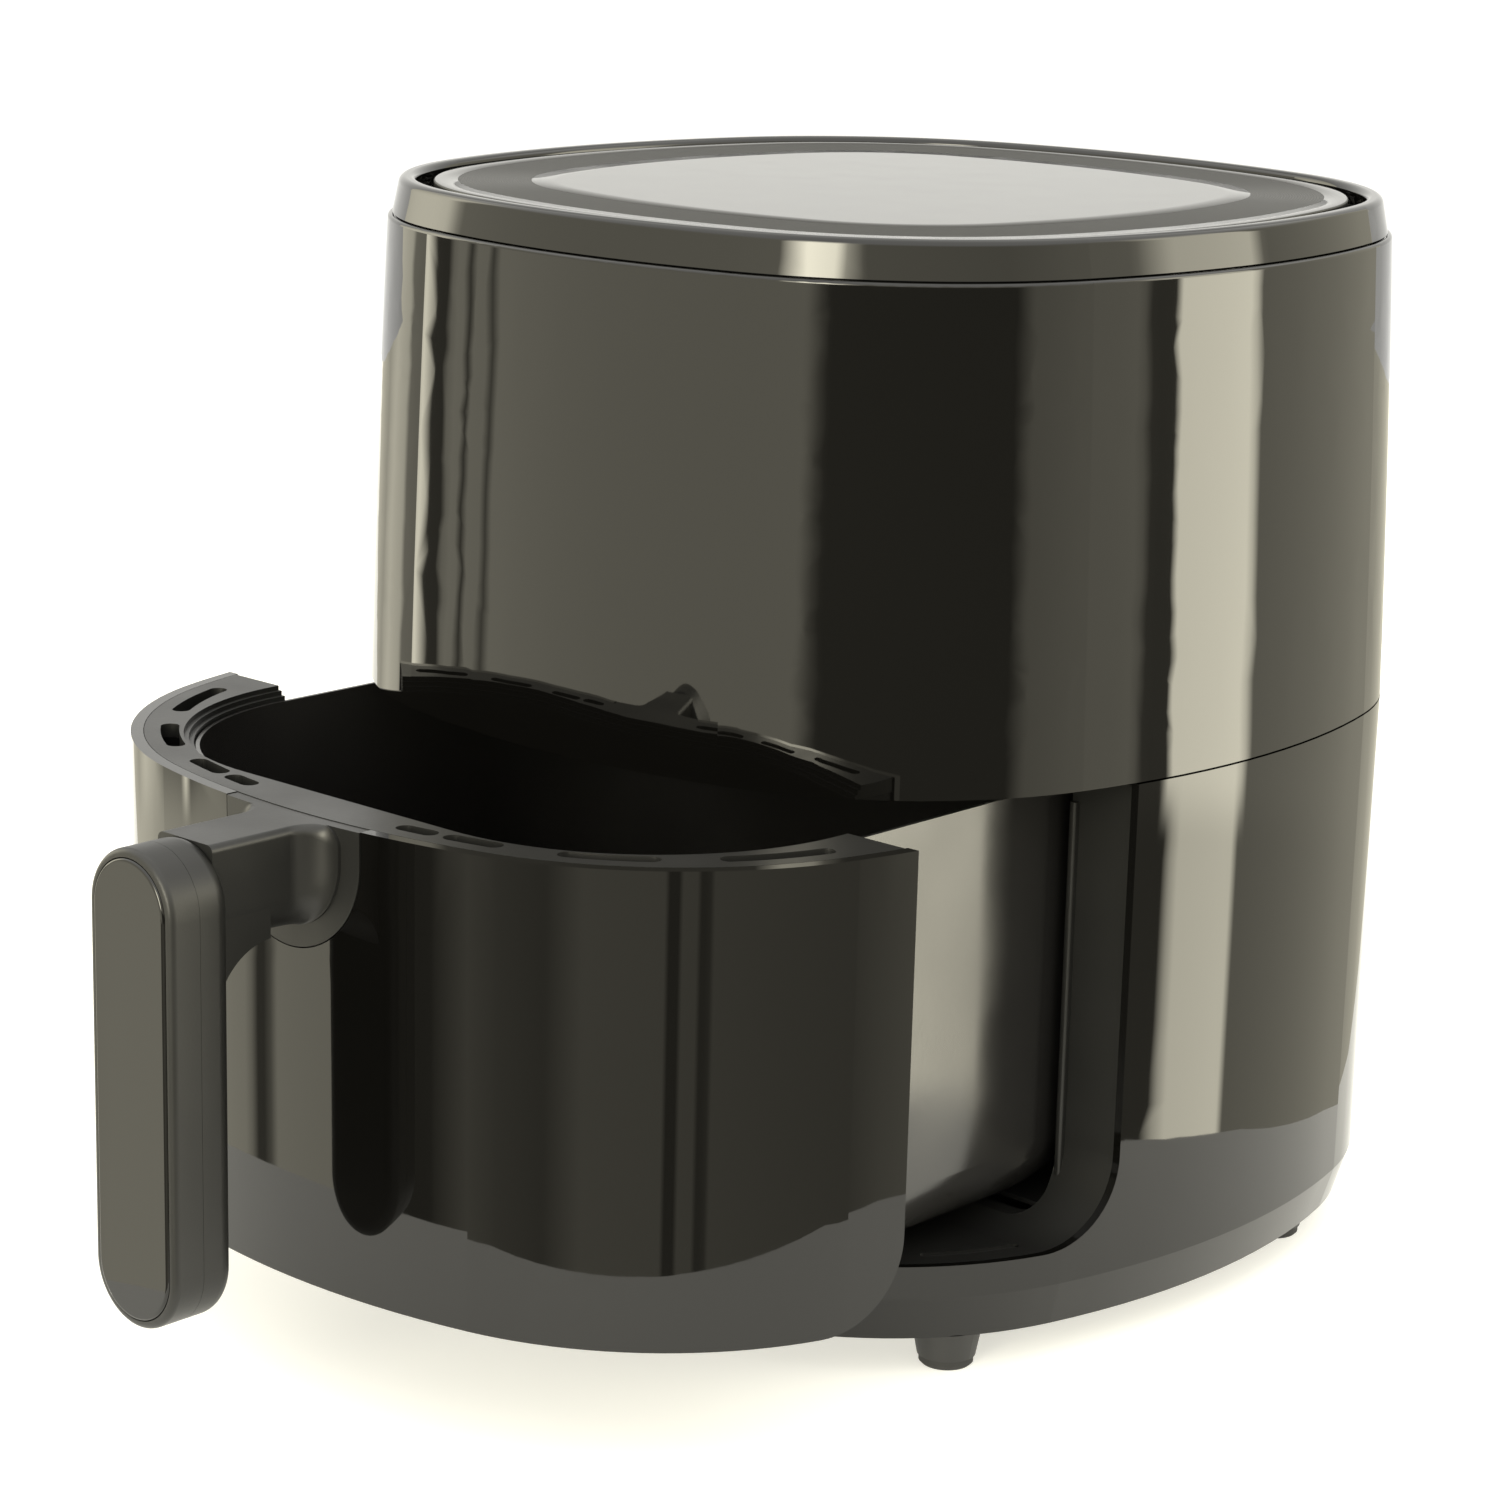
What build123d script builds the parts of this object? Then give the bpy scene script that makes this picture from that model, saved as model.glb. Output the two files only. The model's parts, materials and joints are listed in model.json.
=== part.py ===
from build123d import *
import os
from math import asin, atan2, cos, degrees, hypot, radians, sin

# Air fryer with a pull-out drawer. Millimetres, +Z up, front towards -Y, right side towards +X.
# Every piece is first modelled with the drawer shut and the body's plan centred on the Z axis, with
# the feet standing at Z = 0. The drawer's pieces then move out by DRAWER_OUT, and everything shifts
# by ORIGIN_SHIFT, so that the origin is the bottom centre of the whole box.

os.makedirs("parts", exist_ok=True)

# Plan of the body: four gently curved sides joined by four corner arcs
HALF_WIDTH = 150.0
HALF_DEPTH = 153.0
SIDE_RADIUS = 260.0
CORNER_RADIUS = 106.0

# Levels
PAD_TOP = 3.0
BASE_Z = 12.0
CREASE_Z = 26.0
SILL_Z = 36.0
SPLIT_Z = 177.0
SEAM_Z = 323.0
RING_TOP = 334.6
PANEL_TOP = 333.4

# How far the body draws in from its widest plan at each level
BASE_INSET = 5.0
CREASE_INSET = 0.8
SPLIT_INSET = 0.2
SEAM_INSET = 5.5
TAPER_POWER = 1.25
WALL = 2.5

# Front opening for the drawer
OPENING_Y = -51.0
OPENING_CORNER = 26.0
OPENING_HALF = 118.5
OPENING_FLOOR = 37.5

# Drawer
DRAWER_OUT = 97.0
DRAWER_TOP = 175.0
DRAWER_BOTTOM = 37.5
FRONT_SKIN = 3.8
PAN_HALF = 116.0
PAN_FRONT = -128.0
PAN_REAR = 108.0
PAN_CORNER = 72.0
PAN_BOTTOM = 40.0
PAN_TOP = 171.0
PAN_FOOT_RADIUS = 20.0
PAN_WALL = 1.2
TRAY_Z = 70.0

# Handle
GRIP_WIDTH = 35.0
GRIP_HEIGHT = 137.0
GRIP_CENTRE_Z = 106.8
GRIP_BACK = -187.5
GRIP_REAR_DEPTH = 11.5
GRIP_CAP_DEPTH = 10.5
NECK_WIDTH = 23.0
NECK_TOP = 174.8
NECK_UNDER = 144.0
YOKE_HALF = 27.8

# Hot chamber, fans and motor, on the vertical axis of the body
CHAMBER_HALF_X = 112.0
CHAMBER_HALF_Y = 100.0
CHAMBER_CORNER = 70.0
CHAMBER_TOP = 229.0
SHEET = 1.2
SHAFT_RADIUS = 4.0
SHAFT_LOW = 198.0
SHAFT_HIGH = 286.0

ORIGIN_SHIFT = (DRAWER_OUT - GRIP_BACK + GRIP_REAR_DEPTH + GRIP_CAP_DEPTH - HALF_DEPTH + SPLIT_INSET) / 2


# ---- Plan outlines -------------------------------------------------------------------------------
def corner_centre():
    """Centre of the rear right corner arc, tangent inside the side arc and the rear arc."""
    side = Vector(HALF_WIDTH - SIDE_RADIUS, 0)
    rear = Vector(0, HALF_DEPTH - SIDE_RADIUS)
    half = (rear - side).length / 2
    along = (rear - side).normalized()
    rise = ((SIDE_RADIUS - CORNER_RADIUS) ** 2 - half**2) ** 0.5
    return (side + rear) / 2 + Vector(-along.Y, along.X) * rise


CORNER = corner_centre()
SIDE_END = degrees(atan2(CORNER.Y, CORNER.X - HALF_WIDTH + SIDE_RADIUS))
REAR_START = degrees(atan2(CORNER.Y - HALF_DEPTH + SIDE_RADIUS, CORNER.X))


def outline_arcs(inset):
    """The eight arcs of the body's plan, drawn in by inset, anticlockwise from the right side."""
    side_shift = HALF_WIDTH - SIDE_RADIUS
    end_shift = HALF_DEPTH - SIDE_RADIUS
    corner_sweep = REAR_START - SIDE_END
    side_r = SIDE_RADIUS - inset
    corner_r = CORNER_RADIUS - inset
    return [
        CenterArc((side_shift, 0), side_r, -SIDE_END, 2 * SIDE_END),
        CenterArc((CORNER.X, CORNER.Y), corner_r, SIDE_END, corner_sweep),
        CenterArc((0, end_shift), side_r, REAR_START, 180 - 2 * REAR_START),
        CenterArc((-CORNER.X, CORNER.Y), corner_r, 180 - REAR_START, corner_sweep),
        CenterArc((-side_shift, 0), side_r, 180 - SIDE_END, 2 * SIDE_END),
        CenterArc((-CORNER.X, -CORNER.Y), corner_r, 180 + SIDE_END, corner_sweep),
        CenterArc((0, -end_shift), side_r, 180 + REAR_START, 180 - 2 * REAR_START),
        CenterArc((CORNER.X, -CORNER.Y), corner_r, 360 - REAR_START, corner_sweep),
    ]


def outline(inset, z=0.0):
    return Pos(0, 0, z) * Face(Wire(outline_arcs(inset)))


def slab(inset, low, high):
    return extrude(outline(inset, low), amount=high - low, dir=(0, 0, 1))


def tapered(levels):
    """A solid lofted through (z, inset) levels of the plan."""
    return loft([outline(inset, z) for z, inset in levels])


def body_inset(z):
    """Inset of the upper shell, which draws in towards its top."""
    share = (z - SPLIT_Z) / (SEAM_Z - SPLIT_Z)
    return SPLIT_INSET + (SEAM_INSET - SPLIT_INSET) * max(share, 0) ** TAPER_POWER


def upper_solid(depth, low=SPLIT_Z, high=SEAM_Z):
    """The upper body's filled form, with its surface drawn in by depth."""
    middle = (low + high) / 2
    return tapered([(z, body_inset(z) + depth) for z in (low, middle, high)])


def lower_solid(depth, low=BASE_Z, high=SPLIT_Z - 0.6):
    """The lower body's filled form: a chamfer up to the crease, then nearly upright sides."""
    foot = tapered([(low, BASE_INSET + depth), (CREASE_Z, CREASE_INSET + depth)])
    sides = tapered([(CREASE_Z, CREASE_INSET + depth), (high, SPLIT_INSET + depth)])
    return foot + sides


def side_prism(back_y, floor_z, radius):
    """All the space in front of back_y and above floor_z, with a rounded corner between them."""
    front_y = -HALF_DEPTH - 20
    top_z = SPLIT_Z + 20
    profile = Polyline((back_y, floor_z + radius), (back_y, top_z), (front_y, top_z), (front_y, floor_z),
                       (back_y - radius, floor_z))
    corner = CenterArc((back_y - radius, floor_z + radius), radius, -90, 90)
    face = Plane.YZ * make_face(profile.edges() + corner.edges())
    return extrude(face, amount=HALF_WIDTH + 10, both=True)


def round_box(size_x, size_y, size_z, radius, centre):
    """A box with rounded upright edges."""
    return Pos(*centre) * extrude(RectangleRounded(size_x, size_y, radius), amount=size_z / 2, both=True)


def block(low, high):
    """A box between two opposite corners."""
    size = [b - a for a, b in zip(low, high)]
    middle = [(a + b) / 2 for a, b in zip(low, high)]
    return Pos(*middle) * Box(*size)


def rod(radius, low, high, x=0.0, y=0.0):
    """An upright cylinder from low to high."""
    return Pos(x, y, (low + high) / 2) * Cylinder(radius, high - low)


def rod_along_y(radius, low, high, x, z):
    return Pos(x, (low + high) / 2, z) * Rot(90, 0, 0) * Cylinder(radius, high - low)


def rod_along_x(radius, low, high, y, z):
    return Pos((low + high) / 2, y, z) * Rot(0, 90, 0) * Cylinder(radius, high - low)


def mirrored(solid):
    """The solid and its mirror image across the middle plane."""
    return solid + mirror(solid, about=Plane.YZ)


# ---- Body casings --------------------------------------------------------------------------------
VENT_X, VENT_LOW, VENT_HIGH = 46.0, 196.0, 276.0
GLAND_X, GLAND_Z, GLAND_RADIUS = 55.0, 62.0, 8.0


def vent_window(gap):
    """Rounded window in the back of the upper shell."""
    height = VENT_HIGH - VENT_LOW + 2 * gap
    window = RectangleRounded(2 * (VENT_X + gap), height, 10 + gap)
    return Pos(0, HALF_DEPTH + 10, (VENT_LOW + VENT_HIGH) / 2) * Rot(90, 0, 0) * extrude(window, amount=40)


def make_upper_shell():
    inner = upper_solid(WALL, SPLIT_Z - 0.01, SEAM_Z + 0.01)
    shell = upper_solid(0) - inner
    top_edges = shell.edges().filter_by_position(Axis.Z, SEAM_Z - 0.02, SEAM_Z + 0.02)
    outer_edges = [e for e in top_edges if abs(e.center().Z - SEAM_Z) < 0.001]
    shell = fillet(outer_edges, 1.1)
    return shell - vent_window(0.4)


def make_rear_vent():
    """A slatted plate that fills the window in the back of the upper shell."""
    band = upper_solid(0.3) - upper_solid(2.3)
    plate = band & vent_window(0)
    count = 9
    pitch = (VENT_HIGH - VENT_LOW - 16) / (count - 1)
    for i in range(count):
        z = VENT_LOW + 8 + i * pitch
        plate -= Pos(0, HALF_DEPTH, z) * Box(2 * VENT_X - 16, 30, 3.4)
    return plate


RING_FOOT_INSET, RING_CREST_INSET, RING_INNER_INSET = 6.9, 9.2, 14.4


def make_top_ring():
    """The lip around the top: a wall that leans in, a rounded crest and a skirt inside the shell."""
    foot_z = SEAM_Z + 0.5
    outer = tapered([(foot_z, RING_FOOT_INSET), (RING_TOP, RING_CREST_INSET)])
    ring = outer - slab(RING_INNER_INSET, foot_z - 1, RING_TOP + 1)
    ring = fillet(ring.edges().filter_by_position(Axis.Z, RING_TOP - 0.01, RING_TOP + 0.01), 2.2)
    skirt = slab(8.7, 317, foot_z + 1) - slab(10.7, 316, foot_z + 2)
    return ring + skirt


PANEL_INSET = 19.7
GROOVE_BAND = (27.2, 50.0)


def make_top_panel():
    """The touch panel: a smooth margin and centre, and a band of fine concentric grooves between."""
    panel = slab(PANEL_INSET, PANEL_TOP - 3, PANEL_TOP)
    panel = chamfer(panel.edges().filter_by_position(Axis.Z, PANEL_TOP - 0.01, PANEL_TOP + 0.01), 0.6)
    groove_depth = 0.15
    outer, inner = GROOVE_BAND
    band = slab(outer, PANEL_TOP - groove_depth, PANEL_TOP + 1) - slab(inner, PANEL_TOP - 1, PANEL_TOP + 2)
    return panel - band


def make_panel_carrier():
    """A shallow dish under the panel that holds the touch board."""
    dish = slab(20.6, 318.4, PANEL_TOP - 3)
    return dish - slab(23.0, 320.8, PANEL_TOP)


def make_intake_grille():
    """The slotted floor of the gap between the lip and the panel, where cooling air goes in."""
    plate = slab(11.0, 315.4, 318.0)
    path = Wire(outline_arcs((RING_INNER_INSET + PANEL_INSET) / 2))
    count = 60
    for i in range(count):
        spot = path.position_at(i / count)
        turn = degrees(atan2(*reversed(tuple(path.tangent_at(i / count))[:2])))
        plate -= Pos(spot.X, spot.Y, 316.7) * Rot(0, 0, turn) * Box(8.0, 4.4, 4.0)
    return plate


def make_lower_shell():
    shell = lower_solid(0) - lower_solid(WALL, BASE_Z - 0.01, SPLIT_Z - 0.59)
    shell -= side_prism(OPENING_Y, SILL_Z, OPENING_CORNER)
    return shell - rod_along_y(GLAND_RADIUS + 0.3, 130, 160, GLAND_X, GLAND_Z)


def opening_prism(half_width, floor_z, radius, low_y, high_y):
    """A prism along Y with an open top and rounded lower corners."""
    height = 200.0
    face = RectangleRounded(2 * half_width, height, radius)
    middle_z = floor_z + height / 2
    return Pos(0, high_y, middle_z) * Rot(90, 0, 0) * extrude(face, amount=high_y - low_y)


SILL_SLOT_INSET = 15.5


def make_aperture_frame():
    """The satin surround of the opening: an upright face that turns into the sill."""
    face_y = OPENING_Y + 3
    floor = SILL_Z - 2
    sheet = 3.0
    frame = side_prism(face_y + sheet, floor - sheet, OPENING_CORNER + 2)
    frame -= side_prism(face_y, floor, OPENING_CORNER)
    frame &= slab(CREASE_INSET + WALL + 0.1, floor - sheet - 1, SPLIT_Z - 2.4)
    rib = block((OPENING_HALF + 0.3, face_y - 2.2, 44), (OPENING_HALF + 2.8, face_y + 1, 166))
    rib = fillet(rib.edges().filter_by(Axis.Z).group_by(Axis.Y)[0], 1.0)
    frame += mirrored(rib)
    frame -= opening_prism(OPENING_HALF, OPENING_FLOOR, 8, face_y - 30, face_y + sheet + 1)
    slot_path = CenterArc((CORNER.X, -CORNER.Y), CORNER_RADIUS - SILL_SLOT_INSET, -38, 18)
    slot = Pos(0, 0, floor - 1.0) * extrude(SlotArc(slot_path, 3.0), amount=3, dir=(0, 0, 1))
    return frame - mirrored(slot)


def make_deck_plate():
    """The plate that closes the underside of the upper body around the hot chamber."""
    plate = slab(WALL + 0.7, 178.0, 180.8)
    return plate - chamber_plan(0.5, 177, 182)


def make_base_plate():
    plate = slab(BASE_INSET + WALL + 0.3, BASE_Z, BASE_Z + 2.5)
    for i in range(9):
        plate -= round_box(60, 3.5, 10, 1.7, (0, -36 + 9 * i, BASE_Z))
    for x, y in BASE_POSTS:
        plate += rod(5, BASE_Z + 2, SILL_Z - 1.2, x, y)
        plate -= rod(1.7, BASE_Z - 1, SILL_Z - 4, x, y)
        plate -= rod(4.2, BASE_Z - 1, BASE_Z + 1.6, x, y)
    return plate


BASE_POSTS = [(sx * 70, y) for sx in (-1, 1) for y in (-36, 80)]
FRONT_FOOT = (114.0, -92.0)
REAR_FOOT = (119.0, 68.0)
FOOT_TOP_RADIUS, FOOT_LOW_RADIUS = 10.5, 8.8


def foot_places():
    return [(sx * x, y) for sx in (-1, 1) for x, y in (FRONT_FOOT, REAR_FOOT)]


def make_feet():
    height = BASE_Z - PAD_TOP
    foot = Cone(FOOT_LOW_RADIUS, FOOT_TOP_RADIUS, height)
    return [Pos(x, y, PAD_TOP + height / 2) * foot for x, y in foot_places()]


def make_foot_pads():
    pad = chamfer(Cylinder(8.2, PAD_TOP).edges().group_by(Axis.Z)[0], 0.8)
    return [Pos(x, y, PAD_TOP / 2) * pad for x, y in foot_places()]


def make_base_screws():
    """Four screws up into the posts of the base plate."""
    screws = []
    for x, y in BASE_POSTS:
        head = rod(4.0, BASE_Z + 0.4, BASE_Z + 1.6, x, y)
        screws.append(head + rod(1.65, BASE_Z + 1.0, SILL_Z - 5, x, y))
    return screws


def make_cord_gland():
    """The bush that the mains lead would come out of, with its hole left open."""
    inside, outside = 138.2, 151.6
    flange = GLAND_RADIUS + 2.5
    bush = rod_along_y(GLAND_RADIUS, inside, outside, GLAND_X, GLAND_Z)
    collar = rod_along_y(flange, outside - 2.4, outside, GLAND_X, GLAND_Z)
    nut = rod_along_y(flange, inside, inside + 2.8, GLAND_X, GLAND_Z)
    return bush + collar + nut - rod_along_y(4.2, inside - 2, outside + 2, GLAND_X, GLAND_Z)


# ---- Cavity and hot chamber ----------------------------------------------------------------------
LINER_HALF, LINER_FRONT, LINER_REAR = 122.5, OPENING_Y + 6.4, 115.0
LINER_WALL = 1.4


def make_cavity_liner():
    """The box that the drawer slides into, open to the front and the top."""
    low, high = SILL_Z - 1, SPLIT_Z + 0.6

    def tub(shrink, floor, top, reach):
        half = LINER_HALF - shrink
        body = block((-half, LINER_FRONT - reach, floor), (half, LINER_REAR - shrink, top))
        rear_edges = body.edges().filter_by(Axis.Z).group_by(Axis.Y)[-1]
        return fillet(rear_edges, 60 - shrink)

    liner = tub(0, low, high, 0) - tub(LINER_WALL, low + LINER_WALL, high + 1, 5)
    low_corner = (SWITCH_X - 4.5, LINER_REAR - 6, SWITCH_Z - 18)
    window = block(low_corner, (SWITCH_X + 4.5, LINER_REAR + 3, SWITCH_Z + 8))
    return liner - window


def make_guide_rails():
    """Two low rails that the pan slides on."""
    low = SILL_Z - 1 + LINER_WALL
    rail = block((76, LINER_FRONT + 2, low), (84, 84, PAN_BOTTOM - 0.4))
    rail = fillet(rail.edges().filter_by(Axis.Y).group_by(Axis.Z)[-1], 1.2)
    return [rail, mirror(rail, about=Plane.YZ)]


def chamber_plan(grow, low, high):
    plan = RectangleRounded(2 * (CHAMBER_HALF_X + grow), 2 * (CHAMBER_HALF_Y + grow), CHAMBER_CORNER + grow)
    return Pos(0, 0, low) * extrude(plan, amount=high - low)


DUCT_HALF, DUCT_LOW, DUCT_HIGH = 40.0, 198.0, 224.0
COIL_Z = 195.0


def make_chamber_liner():
    """The steel hood over the pan, with a flange on the deck and a window for the exhaust."""
    hood = chamber_plan(0, 178.2, CHAMBER_TOP) + chamber_plan(9, 181.0, 181.0 + SHEET)
    hood -= chamber_plan(-SHEET, 177, CHAMBER_TOP - SHEET)
    hood -= rod(9, CHAMBER_TOP - 4, CHAMBER_TOP + 4)
    hood -= block((-DUCT_HALF + 2, 90, DUCT_LOW + 2), (DUCT_HALF - 2, 110, DUCT_HIGH - 2))
    for x in COIL_LEGS:
        hood -= rod(5.0, CHAMBER_TOP - 4, CHAMBER_TOP + 4, x, 0)
    return hood - rod_along_x(2.6, -120, -100, PROBE_Y, PROBE_Z)


PROBE_Y, PROBE_Z = 30.0, 208.0


def make_temperature_probe():
    stem = rod_along_x(2.2, -121, -96, PROBE_Y, PROBE_Z)
    return stem + rod_along_x(4.5, -121, -CHAMBER_HALF_X, PROBE_Y, PROBE_Z)


def make_exhaust_duct():
    """The rectangular duct from the hot chamber back to the rear vent."""
    outside = block((-DUCT_HALF, CHAMBER_HALF_Y, DUCT_LOW), (DUCT_HALF, 143, DUCT_HIGH))
    inside = block((-DUCT_HALF + 2, CHAMBER_HALF_Y - 1, DUCT_LOW + 2), (DUCT_HALF - 2, 144, DUCT_HIGH - 2))
    return outside - inside


def make_insulation():
    pad = rod(74, CHAMBER_TOP, CHAMBER_TOP + 4) - rod(14, CHAMBER_TOP - 1, CHAMBER_TOP + 5)
    return pad - rod(5.5, CHAMBER_TOP - 1, CHAMBER_TOP + 5, COIL_LEGS[0], 0)


def make_heat_shield():
    plate = rod(78, CHAMBER_TOP + 4, CHAMBER_TOP + 5.2) - rod(10, CHAMBER_TOP, CHAMBER_TOP + 9)
    return plate - rod(5.5, CHAMBER_TOP, CHAMBER_TOP + 9, COIL_LEGS[0], 0)


COIL_TUBE = 3.3
COIL_PITCH = 15.0
COIL_FIRST = 64.0
COIL_HALF_TURNS = 4
COIL_LAST = COIL_FIRST + (COIL_HALF_TURNS - 1) * COIL_PITCH / 2
COIL_CENTRES = [0.0, COIL_PITCH / 2]


def coil_path():
    """A flat spiral of half circles about two centres."""
    arcs = []
    for i in range(COIL_HALF_TURNS):
        radius = COIL_FIRST + i * COIL_PITCH / 2
        arcs.append(CenterArc((COIL_CENTRES[i % 2], 0), radius, 180 * (i % 2), 180))
    return Wire([arc.moved(Pos(0, 0, COIL_Z)) for arc in arcs])


COIL_LEGS = [COIL_FIRST, COIL_CENTRES[1] + COIL_LAST]


def make_heater_coil():
    """The tubular heating element: a flat spiral with an upright leg at each end."""
    path = coil_path()
    start = Plane(origin=(COIL_LEGS[0], 0, COIL_Z), z_dir=(0, 1, 0))
    coil = sweep(start * Circle(COIL_TUBE), path=path)
    for x in COIL_LEGS:
        coil += Pos(x, 0, COIL_Z) * Sphere(COIL_TUBE)
        coil += rod(COIL_TUBE, COIL_Z, CHAMBER_TOP + 12, x, 0)
    return coil


def make_heater_clips():
    """Three hangers from the roof of the hood, each with a finger under the coil."""
    clips = []
    roof, under, reach, width = CHAMBER_TOP - SHEET, COIL_Z - COIL_TUBE - 0.4, 98.2, 4
    for angle in (60, 180, 300):
        hanger = block((reach - 1.2, -width, under - 1.2), (reach, width, roof))
        hanger += block((56, -width, under - 1.2), (reach, width, under))
        clips.append(Rot(0, 0, angle) * hanger)
    return clips


def make_heater_guard():
    """Concentric wires with four spokes under the coil, fixed to the flange of the hood."""
    z = 184.0
    wire = 1.3
    guard = Pos(0, 0, z) * Torus(24, wire)
    for radius in (48, 72, 94):
        guard += Pos(0, 0, z) * Torus(radius, wire)
    for angle in (45, 135):
        spoke = rod_along_x(wire, -117, 117, 0, z)
        guard += Rot(0, 0, angle) * spoke
    return guard


def make_hot_fan():
    """The impeller under the roof of the hood: a disc with eight curved blades."""
    low, high = 206.0, 222.0
    fan = rod(34, high - 1, high) + rod(9, low, high)
    for i in range(8):
        blade = Pos(20, 0, (low + high) / 2) * Rot(0, 0, 20) * Box(26, 1.4, high - low)
        fan += Rot(0, 0, 45 * i) * blade
    return fan - rod(SHAFT_RADIUS, low - 1, high + 1)


def make_cooling_fan():
    """The impeller above the heat shield that cools the motor."""
    low, high = 237.0, 249.0
    fan = rod(50, low, low + 1.2) + rod(9, low, high)
    for i in range(10):
        blade = Pos(35, 0, (low + high) / 2) * Rot(0, 0, -15) * Box(28, 1.4, high - low)
        fan += Rot(0, 0, 36 * i) * blade
    return fan - rod(SHAFT_RADIUS, low - 1, high + 1)


def make_motor_shaft():
    return rod(SHAFT_RADIUS, SHAFT_LOW, SHAFT_HIGH)


def make_shaft_nuts():
    """The nut under the hot fan and the clip above the cooling fan."""
    bore = rod(SHAFT_RADIUS, SHAFT_LOW, SHAFT_HIGH)
    nut = Pos(0, 0, 203.5) * extrude(RegularPolygon(7, 6), amount=2.4, both=True) - bore
    collar = rod(7, 249.1, 252, 0, 0) - bore
    return [nut, collar]


def make_motor_bracket():
    """A bridge over the cooling fan that carries the motor."""
    top, foot = 255.0, CHAMBER_TOP + 5.2
    reach, half = 68.0, 17.0
    bridge = block((-half, -reach, top), (half, reach, top + 2))
    for low_y, high_y in ((-reach, 2 - reach), (reach - 2, reach)):
        bridge += block((-half, low_y, foot), (half, high_y, top + 1))
    return bridge - rod(9, top - 1, top + 3)


def make_motor_can():
    """The motor: a can with a bearing boss at each end."""
    low = 257.0
    can = rod(30, low + 3, low + 30) + rod(12, low, low + 36)
    can = fillet(can.edges().filter_by(GeomType.CIRCLE).group_by(SortBy.RADIUS)[-1], 2)
    return can - rod(SHAFT_RADIUS + 0.08, low - 1, SHAFT_HIGH + 0.4)


def make_thermal_cutout():
    can = rod(8, CHAMBER_TOP, CHAMBER_TOP + 7, -91, 0)
    return can + block((-97, -1.5, CHAMBER_TOP + 6), (-85, 1.5, CHAMBER_TOP + 12))


# ---- Electronics ---------------------------------------------------------------------------------
def make_power_board():
    """The power board on the left side of the hood, with its larger components."""
    x = -124.0
    board = block((x - 1.6, -38, 192), (x, 38, 268))
    parts = [
        ((-14, -30, 0), (-0, -8, 20)),
        ((-12, 4, 2), (-0, 22, 16)),
        ((-9, -30, 32), (-0, -16, 52)),
        ((-10, 0, 34), (-0, 30, 44)),
    ]
    for low, high in parts:
        shift = Vector(x - 1.6, 0, 200)
        board += block(tuple(Vector(*low) + shift), tuple(Vector(*high) + shift))
    return board + rod_along_x(6, x - 13, x - 1, 24, 254)


def make_touch_board():
    board = round_box(160, 140, 1.6, 12, (0, 0, 323.0))
    for x, y in touch_spots():
        board += rod(5, 323.0, PANEL_TOP - 3.2, x, y)
    return board


def touch_spots():
    """The touch springs: two rows of four."""
    return [(x, y) for y in (-48, 48) for x in (-54, -18, 18, 54)]


def make_display_module():
    return round_box(70, 30, 6, 3, (0, 0, 326.9))


def make_terminal_block():
    blocks = block((20, 119, 70), (50, 134, 84))
    for x in (27.5, 42.5):
        blocks -= rod(2.2, 80, 86, x, 126.5)
    return blocks


SWITCH_X, SWITCH_Z = 60.0, 150.0
SWITCH_PIVOT_Y = 120.0


def make_drawer_switch():
    """The safety switch behind the cavity that the drawer works through its lever."""
    case = block((SWITCH_X - 3.2, 122.8, SWITCH_Z - 16), (SWITCH_X + 3.2, 131.5, SWITCH_Z + 4))
    ears = block((SWITCH_X - 5.6, 117.5, SWITCH_Z - 3), (SWITCH_X - 3.2, 131.5, SWITCH_Z + 4))
    ears += block((SWITCH_X + 3.2, 117.5, SWITCH_Z - 3), (SWITCH_X + 5.6, 131.5, SWITCH_Z + 4))
    pin = rod_along_x(1.0, SWITCH_X - 5.6, SWITCH_X + 5.6, SWITCH_PIVOT_Y, SWITCH_Z)
    return case + ears + pin


def make_switch_lever():
    """A strip that hangs from the switch's pin, with a rounded nose towards the drawer."""
    strip = block((SWITCH_X - 2.5, 118.4, SWITCH_Z - 15), (SWITCH_X + 2.5, 119.4, SWITCH_Z))
    eye = rod_along_x(2.2, SWITCH_X - 2.5, SWITCH_X + 2.5, SWITCH_PIVOT_Y, SWITCH_Z)
    nose = rod_along_x(4.0, SWITCH_X - 2.5, SWITCH_X + 2.5, 114.6, SWITCH_Z - 12)
    bore = rod_along_x(1.06, SWITCH_X - 3, SWITCH_X + 3, SWITCH_PIVOT_Y, SWITCH_Z)
    return strip + eye + nose - bore


# ---- Drawer --------------------------------------------------------------------------------------
def front_prism(gap):
    """The side profile that the drawer's front fills, gap in from its rear and lower edges."""
    return side_prism(OPENING_Y - 1.2 - gap, DRAWER_BOTTOM + gap, OPENING_CORNER)


def front_band(outer_inset, inner_inset, low, high):
    """A curved band of the body's plan, as deep as the drawer's front."""
    outer = tapered([(low, CREASE_INSET + outer_inset), (high, SPLIT_INSET + outer_inset)])
    inner_levels = [(low - 0.01, CREASE_INSET + inner_inset), (high + 0.01, SPLIT_INSET + inner_inset)]
    return outer - tapered(inner_levels)


def yoke_prism(grow):
    """The U-shaped cut at the top of the drawer's front, where the handle goes on."""
    radius = YOKE_HALF + grow
    centre_z = 137.0 + YOKE_HALF
    straight = 30.0
    rounded = Pos(0, centre_z) * Circle(radius)
    rounded += Pos(0, centre_z + straight / 2) * Rectangle(2 * radius, straight)
    return Pos(0, -100, 0) * Rot(90, 0, 0) * extrude(rounded, amount=80)


def make_drawer_front():
    band = front_band(0.1, 0.1 + FRONT_SKIN, SILL_Z - 4, DRAWER_TOP)
    front = band & front_prism(0)
    front -= yoke_prism(0.4)
    return front


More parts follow.
